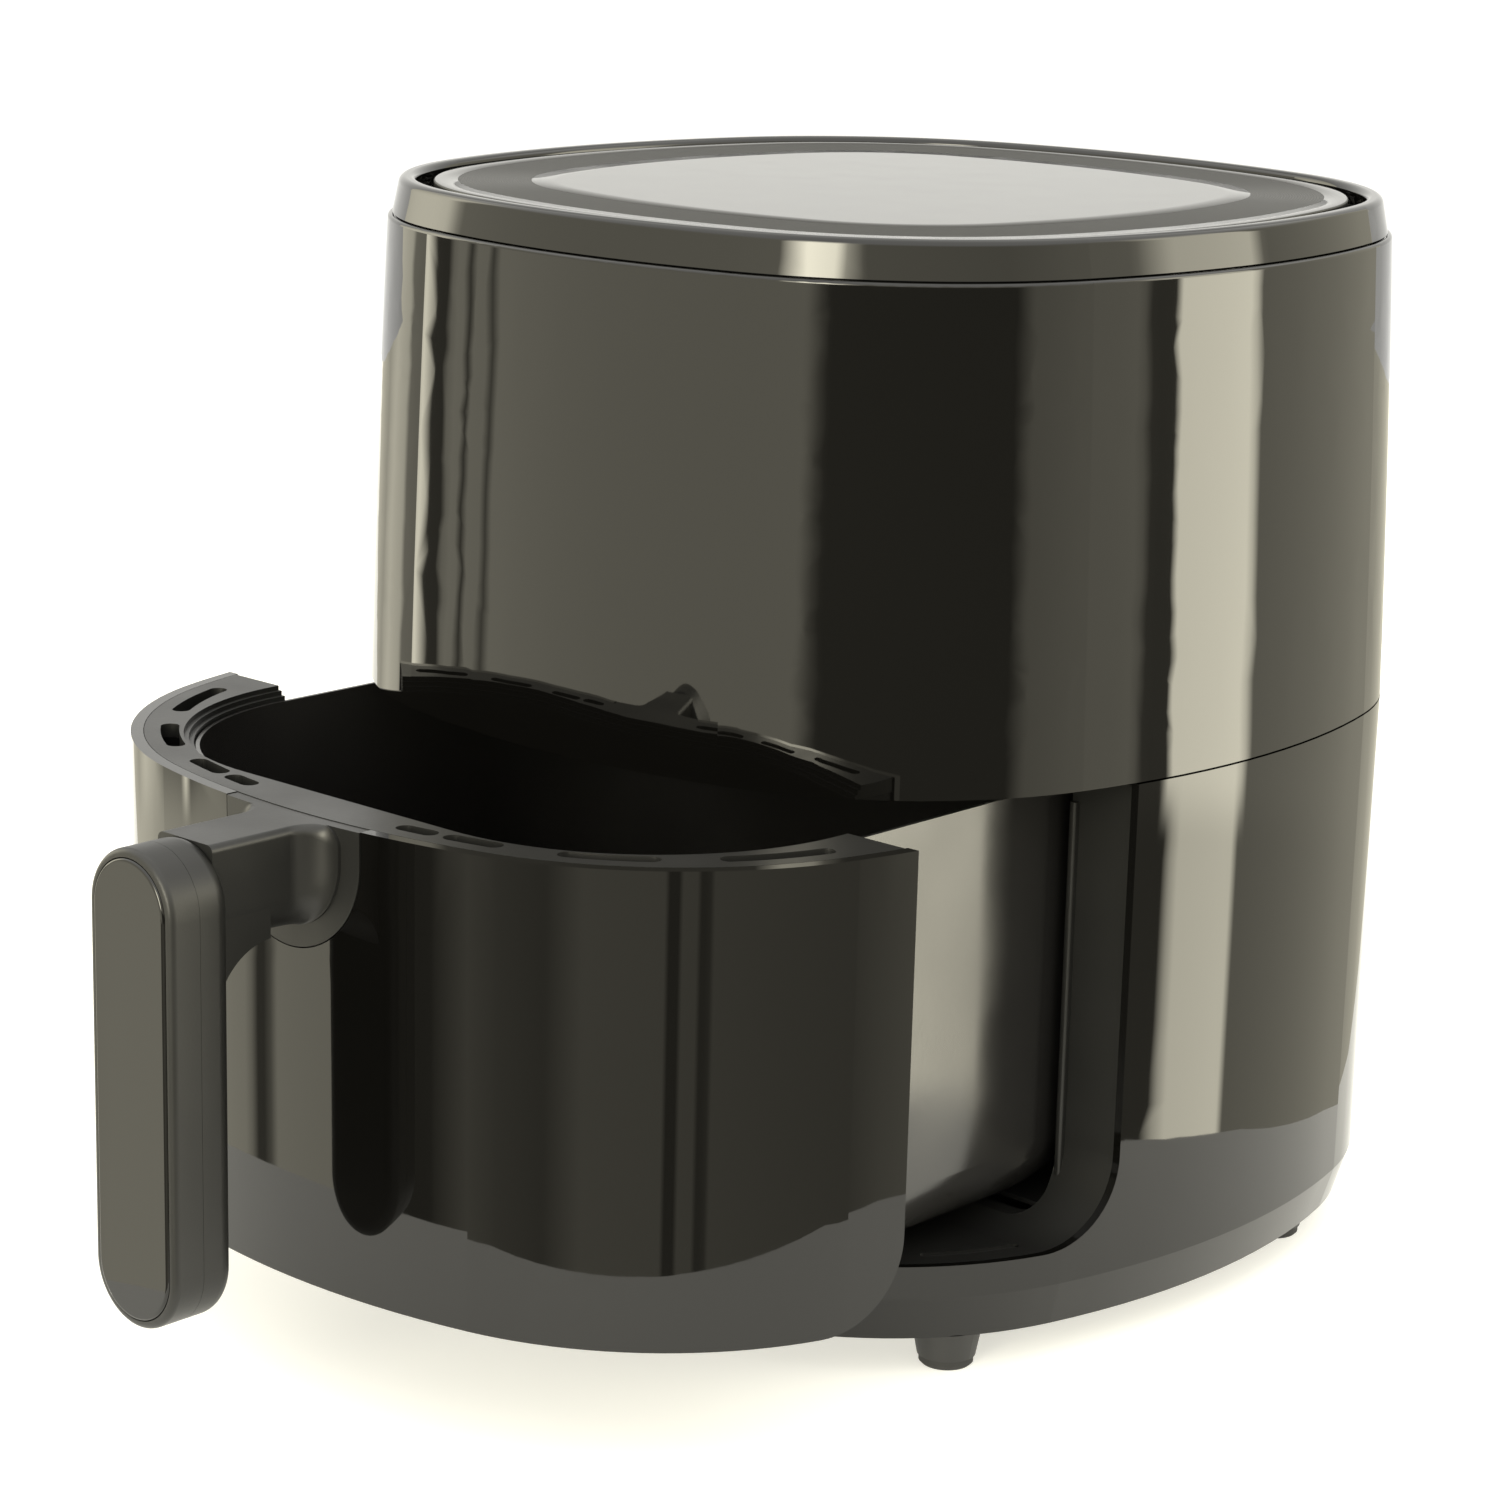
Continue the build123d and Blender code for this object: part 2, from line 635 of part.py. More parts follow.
def pan_plan(grow, low, high):
    """The pan's rounded plan."""
    depth = PAN_REAR - PAN_FRONT + 2 * grow
    plan = RectangleRounded(2 * (PAN_HALF + grow), depth, PAN_CORNER + grow)
    return Pos(0, (PAN_REAR + PAN_FRONT) / 2, low) * extrude(plan, amount=high - low)


RIM_SLOT_INSET, RIM_SLOT_WIDTH = 12.0, 5.6


def make_drawer_rim():
    """The crescent between the drawer's front and the pan, with air slots and steps to the pan."""
    low, high = PAN_TOP - 0.2, DRAWER_TOP
    rim = slab(SPLIT_INSET + FRONT_SKIN + 0.3, low, high) & front_prism(1.0)
    for grow, level in ((0.5, low - 1), (2.0, high - 2.8), (3.5, high - 1.4)):
        rim -= pan_plan(grow, level, high + 1)
    corner_slots = rim_slots((CORNER.X, -CORNER.Y), CORNER_RADIUS - RIM_SLOT_INSET)
    reach = SIDE_RADIUS - RIM_SLOT_INSET
    middle_slots = rim_slots((0, SIDE_RADIUS - HALF_DEPTH), reach)
    for start, end in ((-62, -48), (-35, -18)):
        rim -= corner_slots(start, end)
    for x_start, x_end in ((33, 41), (49, 62)):
        rim -= middle_slots(-90 + degrees(asin(x_start / reach)), -90 + degrees(asin(x_end / reach)))
    return rim


def rim_slots(centre, radius):
    """Makes a cutter for a curved slot and its mirror image."""

    def cutter(start, end):
        slot = SlotArc(CenterArc(centre, radius, start, end - start), RIM_SLOT_WIDTH)
        return mirrored(Pos(0, 0, PAN_TOP - 2) * extrude(slot, amount=6))

    return cutter


def make_front_carrier():
    """The hidden tub that joins the drawer's front, its rim and the pan."""
    skin = FRONT_SKIN + 0.6
    low, high = PAN_BOTTOM + 0.5, PAN_TOP - 0.4
    tub = slab(CREASE_INSET + skin, low, high) & front_prism(1.5)
    tub -= slab(CREASE_INSET + skin + 2.2, low + 2.2, high + 1) & front_prism(4.0)
    keep = pan_plan(3.0, low - 1, high + 1)
    inner_wall = keep & slab(CREASE_INSET + skin, low, high) & front_prism(1.5)
    tub = tub + inner_wall - pan_plan(0.5, low - 1, high + 2)
    tub -= yoke_clearance()
    for x in (-SCREW_X, SCREW_X):
        tub -= rod_along_y(2.2, -160, -138, x, SCREW_Z)
    return tub


def yoke_clearance():
    """Room behind the U-shaped plate of the handle."""
    return yoke_prism(0.4) & (slab(0, 100, 180) - slab(CREASE_INSET + FRONT_SKIN + 1.2, 99, 181))


SCREW_X, SCREW_Z = 15.0, 160.0


def make_pan():
    """The pressed pan: rounded foot, upright walls and a small step under its lip."""
    outside = pan_plan(0, PAN_BOTTOM, PAN_TOP)
    outside = fillet(outside.faces().sort_by(Axis.Z)[0].edges(), PAN_FOOT_RADIUS)
    inside = pan_plan(-PAN_WALL, PAN_BOTTOM + PAN_WALL, PAN_TOP + 1)
    inside = fillet(inside.faces().sort_by(Axis.Z)[0].edges(), PAN_FOOT_RADIUS - PAN_WALL)
    return outside - inside


def make_crisper_tray():
    """The perforated tray on four posts, with a turned-up edge and a slot to lift it by."""
    gap = PAN_WALL + 2.8
    edge = pan_plan(-gap, TRAY_Z, TRAY_Z + 9) - pan_plan(-gap - 1.5, TRAY_Z + 1.5, TRAY_Z + 10)
    pitch = 17.0
    middle_y = (PAN_REAR + PAN_FRONT) / 2
    holes = []
    for row in range(-6, 7):
        for column in range(-6, 7):
            x = pitch * (column + 0.5 * (row % 2))
            y = pitch * 0.866 * row
            if hypot(x, y) < 92 and hypot(x, y) > 22:
                holes.append(rod(3.4, TRAY_Z - 1, TRAY_Z + 3, x, middle_y + y))
    tray = edge - holes
    tray -= round_box(26, 12, 10, 5.9, (0, middle_y + 8, TRAY_Z))
    for x in (-70, 70):
        for y in (-70, 70):
            tray += rod(4, PAN_BOTTOM + PAN_WALL + 0.3, TRAY_Z + 0.5, x, middle_y + y)
    return tray


def make_tray_bumpers():
    """Six silicone caps that centre the tray in the pan."""
    gap = PAN_WALL + 2.8
    thickness = 2.3
    middle_y = (PAN_REAR + PAN_FRONT) / 2
    side_x = PAN_HALF - gap
    bumpers = []
    for sx in (-1, 1):
        for y in (-28, 28):
            low_x, high_x = sorted((sx * side_x, sx * (side_x + thickness)))
            bumpers.append(block((low_x, middle_y + y - 7, TRAY_Z), (high_x, middle_y + y + 7, TRAY_Z + 9)))
    for y_edge, sign in ((PAN_FRONT + gap, -1), (PAN_REAR - gap, 1)):
        low_y, high_y = sorted((y_edge, y_edge + sign * thickness))
        bumpers.append(block((-7, low_y, TRAY_Z), (7, high_y, TRAY_Z + 9)))
    return bumpers


# ---- Handle --------------------------------------------------------------------------------------
def stadium(width, height, back_y, depth):
    """An upright stadium-shaped plate, from back_y forwards by depth."""
    face = SlotOverall(height, width, rotation=90)
    return Pos(0, back_y, GRIP_CENTRE_Z) * Rot(90, 0, 0) * extrude(face, amount=depth)


NECK_EDGE = 2.2
ROOT_HALF, ROOT_UNDER, ROOT_EDGE, ROOT_REACH = 21.0, 143.4, 6.0, 9.0


def u_section(under_z, radius, edge):
    """The neck's section, seen from the front: a flat top and a half-round underside."""
    section = Pos(0, under_z + radius) * Circle(radius)
    height = NECK_TOP - under_z - radius
    section += Pos(0, NECK_TOP - height / 2) * Rectangle(2 * radius, height)
    section &= Pos(0, (under_z + NECK_TOP) / 2) * Rectangle(2 * radius, NECK_TOP - under_z)
    return fillet(section.vertices().group_by(Axis.Y)[-1], edge)


def u_bar(under_z, start_y, length, radius, edge=NECK_EDGE):
    """A bar along Y with the neck's section."""
    return Pos(0, start_y, 0) * Rot(90, 0, 0) * extrude(u_section(under_z, radius, edge), amount=length)


def make_neck_root():
    """The neck's flare into the U-shaped plate, hollow in profile, and its stub through the plate."""
    front_y = -HALF_DEPTH
    sections = []
    for turn in (0, 20, 40, 62, 90):
        share = 1 - sin(radians(turn))
        radius = NECK_WIDTH / 2 + (ROOT_HALF - NECK_WIDTH / 2) * share
        section = u_section(NECK_UNDER + (ROOT_UNDER - NECK_UNDER) * share, radius,
                            NECK_EDGE + (ROOT_EDGE - NECK_EDGE) * share)
        reach = ROOT_REACH * (1 - cos(radians(turn)))
        sections.append(Pos(0, front_y - reach, 0) * Rot(90, 0, 0) * section)
    stub_start = front_y + FRONT_SKIN
    return loft(sections) + u_bar(ROOT_UNDER, stub_start, stub_start - front_y, ROOT_HALF, ROOT_EDGE)


def make_neck_gusset():
    """The sweep from the neck's underside down into the back of the grip."""
    start_y, start_z, end_y, end_z = -169.0, NECK_UNDER + 0.8, GRIP_BACK - 1, 122.0
    core_z = NECK_UNDER + 12
    corner = Polyline((start_y, start_z), (start_y, core_z), (end_y, core_z), (end_y, end_z))
    sweep = ThreePointArc((end_y, end_z), (-182.8, 138.4), (start_y, start_z))
    radius = NECK_WIDTH / 2 - 0.2
    gusset = extrude(Plane.YZ * make_face(corner.edges() + sweep.edges()), amount=radius + 1, both=True)
    return gusset & u_bar(end_z - 0.5, start_y, start_y - end_y, radius)


def make_handle_bracket():
    """The U-shaped plate in the drawer's front, the neck and the rear half of the grip."""
    plate = front_band(0.0, FRONT_SKIN + 0.2, SILL_Z, NECK_TOP) & yoke_prism(0)
    neck_start = -HALF_DEPTH + 3.5
    neck_length = neck_start - GRIP_BACK + 2
    neck = u_bar(NECK_UNDER, neck_start, neck_length, NECK_WIDTH / 2)
    neck += make_neck_root() + make_neck_gusset()
    grip = stadium(GRIP_WIDTH, GRIP_HEIGHT, GRIP_BACK, GRIP_REAR_DEPTH - 0.1)
    grip = fillet(grip.faces().sort_by(Axis.Y)[-1].edges(), 5.0)
    bracket = plate + neck + grip
    for x in (-SCREW_X, SCREW_X):
        bracket -= rod_along_y(1.9, -HALF_DEPTH + 1.0, -140, x, SCREW_Z)
    return bracket


INLAY_MARGIN, INLAY_GAP = 2.4, 0.2
INLAY_DEPTH, INLAY_PROUD = 2.4, 0.6


def make_handle_cap():
    """The front half of the grip, with a recess for the inlay."""
    back = GRIP_BACK - GRIP_REAR_DEPTH
    depth = GRIP_CAP_DEPTH - INLAY_PROUD
    cap = stadium(GRIP_WIDTH, GRIP_HEIGHT, back, depth)
    cap = fillet(cap.faces().sort_by(Axis.Y)[0].edges(), 2.0)
    margin = 2 * INLAY_MARGIN
    floor_y = back - GRIP_CAP_DEPTH + INLAY_DEPTH
    return cap - stadium(GRIP_WIDTH - margin, GRIP_HEIGHT - margin, floor_y, INLAY_DEPTH + 1)


def make_handle_inlay():
    """The polished strip in the grip, standing a little proud with rounded edges."""
    margin = 2 * (INLAY_MARGIN + INLAY_GAP)
    floor_y = GRIP_BACK - GRIP_REAR_DEPTH - GRIP_CAP_DEPTH + INLAY_DEPTH
    inlay = stadium(GRIP_WIDTH - margin, GRIP_HEIGHT - margin, floor_y, INLAY_DEPTH)
    return fillet(inlay.faces().sort_by(Axis.Y)[0].edges(), 1.0)


def make_handle_screws():
    """Two screws from inside the drawer's front into the handle."""
    screws = []
    for x in (-SCREW_X, SCREW_X):
        shank = rod_along_y(1.8, -HALF_DEPTH + 1.2, -143, x, SCREW_Z)
        screws.append(shank + rod_along_y(3.6, -143.2, -141, x, SCREW_Z))
    return screws


# ---- Writing the pieces --------------------------------------------------------------------------
BODY_PIECES = {
    "upper_shell": make_upper_shell,
    "rear_vent": make_rear_vent,
    "top_ring": make_top_ring,
    "top_panel": make_top_panel,
    "panel_carrier": make_panel_carrier,
    "intake_grille": make_intake_grille,
    "lower_shell": make_lower_shell,
    "aperture_frame": make_aperture_frame,
    "deck_plate": make_deck_plate,
    "base_plate": make_base_plate,
    "feet": make_feet,
    "foot_pads": make_foot_pads,
    "base_screws": make_base_screws,
    "cord_gland": make_cord_gland,
    "cavity_liner": make_cavity_liner,
    "guide_rails": make_guide_rails,
    "chamber_liner": make_chamber_liner,
    "temperature_probe": make_temperature_probe,
    "exhaust_duct": make_exhaust_duct,
    "insulation": make_insulation,
    "heat_shield": make_heat_shield,
    "heater_coil": make_heater_coil,
    "heater_clips": make_heater_clips,
    "heater_guard": make_heater_guard,
    "hot_fan": make_hot_fan,
    "cooling_fan": make_cooling_fan,
    "motor_shaft": make_motor_shaft,
    "shaft_nuts": make_shaft_nuts,
    "motor_bracket": make_motor_bracket,
    "motor_can": make_motor_can,
    "thermal_cutout": make_thermal_cutout,
    "power_board": make_power_board,
    "touch_board": make_touch_board,
    "display_module": make_display_module,
    "terminal_block": make_terminal_block,
    "drawer_switch": make_drawer_switch,
    "switch_lever": make_switch_lever,
}
DRAWER_PIECES = {
    "drawer_front": make_drawer_front,
    "drawer_rim": make_drawer_rim,
    "front_carrier": make_front_carrier,
    "pan": make_pan,
    "crisper_tray": make_crisper_tray,
    "tray_bumpers": make_tray_bumpers,
    "handle_bracket": make_handle_bracket,
    "handle_cap": make_handle_cap,
    "handle_inlay": make_handle_inlay,
    "handle_screws": make_handle_screws,
}


def write(name, made, forward):
    solids = made if isinstance(made, list) else [made]
    shift = Pos(0, ORIGIN_SHIFT - forward, 0)
    pieces = [shift * solid for piece in solids for solid in piece.solids()]
    shape = pieces[0] if len(pieces) == 1 else Compound(children=pieces)
    export_step(shape, f"parts/{name}.step")
    print(name, len(pieces), round(sum(p.volume for p in pieces)))


for node, make in BODY_PIECES.items():
    write(node, make(), 0.0)
for node, make in DRAWER_PIECES.items():
    write(node, make(), DRAWER_OUT)
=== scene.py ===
import json
import math

import bmesh
import bpy
from mathutils import Matrix, Vector


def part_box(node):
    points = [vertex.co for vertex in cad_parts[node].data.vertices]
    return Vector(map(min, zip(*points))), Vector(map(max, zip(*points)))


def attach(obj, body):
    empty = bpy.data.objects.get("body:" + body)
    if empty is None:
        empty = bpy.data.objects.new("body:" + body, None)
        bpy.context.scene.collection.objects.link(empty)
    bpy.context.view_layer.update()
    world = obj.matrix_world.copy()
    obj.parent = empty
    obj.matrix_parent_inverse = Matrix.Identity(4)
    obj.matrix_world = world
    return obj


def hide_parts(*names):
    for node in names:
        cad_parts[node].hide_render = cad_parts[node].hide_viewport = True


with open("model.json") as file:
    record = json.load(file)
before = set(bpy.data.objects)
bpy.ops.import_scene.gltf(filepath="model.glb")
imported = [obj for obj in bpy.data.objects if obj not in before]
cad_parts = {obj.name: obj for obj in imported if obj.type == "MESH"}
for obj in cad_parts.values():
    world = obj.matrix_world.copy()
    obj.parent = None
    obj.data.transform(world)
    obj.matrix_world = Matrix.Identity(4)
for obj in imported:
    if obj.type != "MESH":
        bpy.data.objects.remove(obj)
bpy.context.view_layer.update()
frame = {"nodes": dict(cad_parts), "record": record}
NODES = frame["nodes"]


# ---- Shader helpers and materials ----------------------------------------------------------------

def new_material(name):
    material = bpy.data.materials.new(name)
    material.use_nodes = True
    return material, material.node_tree.nodes, material.node_tree.links


def object_coords(nodes):
    return nodes.new("ShaderNodeTexCoord").outputs["Object"]


def noise(nodes, links, coords, scale, detail=3.0, stretch=(1, 1, 1)):
    """A noise texture, its pattern drawn out along the axes with a low stretch value."""
    mapping = nodes.new("ShaderNodeMapping")
    mapping.inputs["Scale"].default_value = stretch
    links.new(coords, mapping.inputs["Vector"])
    texture = nodes.new("ShaderNodeTexNoise")
    texture.inputs["Scale"].default_value = scale
    texture.inputs["Detail"].default_value = detail
    links.new(mapping.outputs["Vector"], texture.inputs["Vector"])
    return texture.outputs["Fac"]


def spread(nodes, links, value, low, high, start=0.3, end=0.7):
    """The value's range from start to end, mapped to low...high."""
    ranged = nodes.new("ShaderNodeMapRange")
    ranged.inputs["From Min"].default_value = start
    ranged.inputs["From Max"].default_value = end
    ranged.inputs["To Min"].default_value = low
    ranged.inputs["To Max"].default_value = high
    links.new(value, ranged.inputs["Value"])
    return ranged.outputs["Result"]


def bump(nodes, links, shader, height, distance, strength=1.0):
    """Raises and lowers the shader's surface by the height value."""
    node = nodes.new("ShaderNodeBump")
    node.inputs["Strength"].default_value = strength
    node.inputs["Distance"].default_value = distance
    links.new(height, node.inputs["Height"])
    links.new(node.outputs["Normal"], shader.inputs["Normal"])


def connect(links, value, socket):
    """Links another socket to this one, or sets it to a number or colour."""
    if isinstance(value, bpy.types.NodeSocket):
        links.new(value, socket)
    else:
        socket.default_value = value


def mixed(nodes, links, factor, first, second, blend="MIX"):
    """Two colours mixed by a factor; each of the three is a value or a socket."""
    node = nodes.new("ShaderNodeMix")
    node.data_type = "RGBA"
    node.blend_type = blend
    connect(links, factor, node.inputs["Factor"])
    connect(links, first, node.inputs["A"])
    connect(links, second, node.inputs["B"])
    return node.outputs["Result"]


def tint(nodes, links, value, dark, light):
    """Two close colours mixed by a noise value."""
    return mixed(nodes, links, value, (*dark, 1), (*light, 1))


def scaled(colour, factor):
    return tuple(min(1.0, c * factor) for c in colour)


WAVE_DEPTH = 0.000013


def gloss_plastic(name, colour, rough_low, rough_high):
    """Polished moulding: faint waviness, a little uneven polish and fine wiping marks."""
    material, nodes, links = new_material(name)
    shader = nodes["Principled BSDF"]
    shader.inputs["IOR"].default_value = 1.5
    coords = object_coords(nodes)
    patches = noise(nodes, links, coords, 9.0, 4.0)
    links.new(tint(nodes, links, patches, scaled(colour, 0.8), scaled(colour, 1.25)),
              shader.inputs["Base Color"])
    wiped = noise(nodes, links, coords, 60.0, 5.0, (1.0, 1.0, 0.12))
    links.new(spread(nodes, links, wiped, rough_low, rough_high), shader.inputs["Roughness"])
    slow = noise(nodes, links, coords, 16.0, 1.0, (1.0, 1.0, 0.35))
    bump(nodes, links, shader, slow, WAVE_DEPTH)
    return material


def satin_plastic(name, colour, roughness, grain=1100.0, depth=0.00004, specular=0.5):
    """Fine-textured moulding: an even spark-eroded grain and soft tonal patches."""
    material, nodes, links = new_material(name)
    shader = nodes["Principled BSDF"]
    shader.inputs["IOR"].default_value = 1.5
    shader.inputs["Specular IOR Level"].default_value = specular
    coords = object_coords(nodes)
    patches = noise(nodes, links, coords, 22.0, 4.0)
    links.new(tint(nodes, links, patches, scaled(colour, 0.82), scaled(colour, 1.18)),
              shader.inputs["Base Color"])
    links.new(spread(nodes, links, patches, roughness - 0.05, roughness + 0.06),
              shader.inputs["Roughness"])
    bump(nodes, links, shader, noise(nodes, links, coords, grain, 2.0), depth, 0.6)
    return material


POLISH_DEPTH = 0.00002


def metal(name, colour, roughness):
    """Sheet, rod or wire metal with a fine uneven polish."""
    material, nodes, links = new_material(name)
    shader = nodes["Principled BSDF"]
    shader.inputs["Metallic"].default_value = 1.0
    coords = object_coords(nodes)
    polish = noise(nodes, links, coords, 240.0, 4.0)
    links.new(tint(nodes, links, polish, scaled(colour, 0.88), scaled(colour, 1.12)),
              shader.inputs["Base Color"])
    links.new(spread(nodes, links, polish, roughness - 0.05, roughness + 0.07),
              shader.inputs["Roughness"])
    bump(nodes, links, shader, polish, POLISH_DEPTH, 0.5)
    return material


GROOVE_SINK = 0.0001
GROOVE_ROUGHNESS = 0.46


def panel_plastic():
    """The touch panel: polished, but matt in its grooves, which lie below the panel's top."""
    material = gloss_plastic("touch_panel", (0.006, 0.006, 0.0055), 0.06, 0.10)
    nodes, links = material.node_tree.nodes, material.node_tree.links
    shader = nodes["Principled BSDF"]
    shader.inputs["Specular Tint"].default_value = (1.0, 0.985, 0.88, 1)
    polish = shader.inputs["Roughness"].links[0].from_socket
    split = nodes.new("ShaderNodeSeparateXYZ")
    links.new(object_coords(nodes), split.inputs[0])
    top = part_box("top_panel")[1][2]
    sunk = spread(nodes, links, split.outputs["Z"], 1.0, 0.0,
                  top - 0.7 * GROOVE_SINK, top - 0.2 * GROOVE_SINK)
    finish = nodes.new("ShaderNodeMix")
    links.new(sunk, finish.inputs["Factor"])
    links.new(polish, finish.inputs["A"])
    finish.inputs["B"].default_value = GROOVE_ROUGHNESS
    links.new(finish.outputs["Result"], shader.inputs["Roughness"])
    return material


MATERIALS = {
    "gloss_black": gloss_plastic("gloss_black", (0.0022, 0.0021, 0.0019), 0.012, 0.034),
    "touch_panel": panel_plastic(),
    "satin_black": satin_plastic("satin_black", (0.011, 0.011, 0.0105), 0.38, specular=0.42),
    "black_plastic": satin_plastic("black_plastic", (0.016, 0.016, 0.016), 0.5, grain=700.0),
    "white_plastic": satin_plastic("white_plastic", (0.72, 0.70, 0.66), 0.5),
    "display_white": satin_plastic("display_white", (0.80, 0.80, 0.80), 0.6),
    "rubber_black": satin_plastic("rubber_black", (0.018, 0.018, 0.018), 0.75, grain=500.0),
    "silicone": satin_plastic("silicone", (0.03, 0.03, 0.03), 0.55, grain=400.0),
    "non_stick": satin_plastic("non_stick", (0.016, 0.0155, 0.015), 0.19,
                               grain=900.0, depth=0.00001, specular=0.62),
    "zinc_steel": metal("zinc_steel", (0.62, 0.62, 0.62), 0.32),
    "heater_sheath": metal("heater_sheath", (0.25, 0.23, 0.21), 0.42),
    "chrome_wire": metal("chrome_wire", (0.75, 0.75, 0.75), 0.14),
    "motor_steel": metal("motor_steel", (0.40, 0.41, 0.42), 0.35),
    "felt": satin_plastic("felt", (0.72, 0.69, 0.62), 0.95, grain=260.0, depth=0.0004),
    "circuit_board": satin_plastic("circuit_board", (0.03, 0.13, 0.06), 0.4, grain=90.0),
}

for entry in frame["record"]["subparts"]:
    node = NODES[entry["node"]]
    node.data.materials.clear()
    node.data.materials.append(MATERIALS[entry["material_slot"]])


# ---- The touch panel, with its fine grooves ------------------------------------------------------

HALF_WIDTH, HALF_DEPTH = 0.150, 0.153
SIDE_RADIUS, CORNER_RADIUS = 0.260, 0.106
PANEL_INSET, PANEL_THICKNESS = 0.0197, 0.003
PANEL_ROUNDING, UNDER_CHAMFER, UNDER_BORDER = 0.0006, 0.0002, 0.003
GROOVES_START, GROOVES_END = 0.0272, 0.0500
GROOVE_COUNT, GROOVE_DEPTH, GROOVE_STEPS = 27, 0.00012, 6
GROOVE_SHOULDER = 0.0001
INNER_RINGS = (0.058, 0.070)
ROUNDING_STEPS, RING_POINTS = 4, 384


def plan_points(inset, count):
    """Points (x, y) round the body's plan, drawn in by inset: arcs that run into each other."""
    side = Vector((HALF_WIDTH - SIDE_RADIUS, 0))
    rear = Vector((0, HALF_DEPTH - SIDE_RADIUS))
    along = (rear - side).normalized()
    rise = math.sqrt((SIDE_RADIUS - CORNER_RADIUS) ** 2 - ((rear - side).length / 2) ** 2)
    corner = (side + rear) / 2 + Vector((-along.y, along.x)) * rise
    side_end = math.atan2(corner.y, corner.x - side.x)
    rear_start = math.atan2(corner.y - rear.y, corner.x)
    points = []
    for i in range(count):
        angle = 2 * math.pi * i / count
        turn = abs(math.atan2(math.sin(angle), math.cos(angle)))
        folded = min(turn, math.pi - turn)
        if folded < side_end:
            centre, radius = side, SIDE_RADIUS
        elif folded < rear_start:
            centre, radius = corner, CORNER_RADIUS
        else:
            centre, radius = rear, SIDE_RADIUS
        x = centre.x + (radius - inset) * math.cos(folded)
        y = centre.y + (radius - inset) * math.sin(folded)
        points.append((math.copysign(x, math.cos(angle)), math.copysign(y, math.sin(angle))))
    return points


def panel_levels(top):
    """The panel's rings as (inset, height), from its underside over its edge to the middle."""
    under = top - PANEL_THICKNESS
    levels = [(PANEL_INSET + UNDER_BORDER, under), (PANEL_INSET + UNDER_CHAMFER, under),
              (PANEL_INSET, under + UNDER_CHAMFER), (PANEL_INSET, top - PANEL_ROUNDING)]
    for i in range(1, ROUNDING_STEPS + 1):
        turn = math.radians(90 * i / ROUNDING_STEPS)
        levels.append((PANEL_INSET + PANEL_ROUNDING * (1 - math.cos(turn)),
                       top - PANEL_ROUNDING * (1 - math.sin(turn))))
    levels.append((GROOVES_START - GROOVE_SHOULDER, top))
    steps = GROOVE_STEPS * GROOVE_COUNT
    for i in range(steps + 1):
        share = i / steps
        wave = 0.5 - 0.5 * math.cos(2 * math.pi * GROOVE_COUNT * share)
        levels.append((GROOVES_START + (GROOVES_END - GROOVES_START) * share,
                       top - GROOVE_SINK - GROOVE_DEPTH * wave))
    levels.append((GROOVES_END + GROOVE_SHOULDER, top))
    levels += [(inset, top) for inset in INNER_RINGS]
    return levels


def touch_panel():
    """The panel as one closed skin through its rings, in place of the plain CAD plate."""
    low, high = (Vector(corner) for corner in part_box("top_panel"))
    centre = (low + high) / 2
    mesh = bpy.data.meshes.new("touch_panel")
    build = bmesh.new()
    rings = []
    for inset, height in panel_levels(high.z):
        points = plan_points(inset, RING_POINTS)
        rings.append([build.verts.new((centre.x + x, centre.y + y, height)) for x, y in points])
    for outer, inner in zip(rings, rings[1:]):
        for i in range(RING_POINTS):
            j = (i + 1) % RING_POINTS
            build.faces.new((outer[i], outer[j], inner[j], inner[i])).smooth = True
    build.faces.new(rings[-1])
    build.faces.new(list(reversed(rings[0])))
    build.to_mesh(mesh)
    build.free()
    mesh.materials.append(MATERIALS["touch_panel"])
    piece = bpy.data.objects.new("touch_panel", mesh)
    bpy.context.scene.collection.objects.link(piece)
    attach(piece, "body")
    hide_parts("top_panel")


touch_panel()


# ---- Studio: table and backdrop ------------------------------------------------------------------

STUDIO_TURN = math.radians(42.3)
STRIP_FACES = 4
TABLE_RADIUS, TABLE_BACK = 0.325, 1.9
TABLE_SHOULDER, TABLE_END = (0.12, 0.0, -0.36, 0.302), (TABLE_BACK, 0.0, -0.72, 0.64)
BACKDROP_RADIUS, BACKDROP_HEIGHT = 0.5, 3.2
BACKDROP_LEFT, BACKDROP_RIGHT = -2.0, 2.25
TABLE_STEPS, BACKDROP_STEPS = 24, 16


def pale_material(name, colour, glow):
    """An even pale surface with a faint unevenness, lifted by a light of its own."""
    material, nodes, links = new_material(name)
    shader = nodes["Principled BSDF"]
    coords = object_coords(nodes)
    patches = noise(nodes, links, coords, 6.0)
    links.new(tint(nodes, links, patches, scaled(colour, 0.99), colour), shader.inputs["Base Color"])
    links.new(spread(nodes, links, noise(nodes, links, coords, 40.0), 0.75, 0.85),
              shader.inputs["Roughness"])
    shader.inputs["Emission Color"].default_value = (*glow, 1)
    shader.inputs["Emission Strength"].default_value = 1.0
    return material


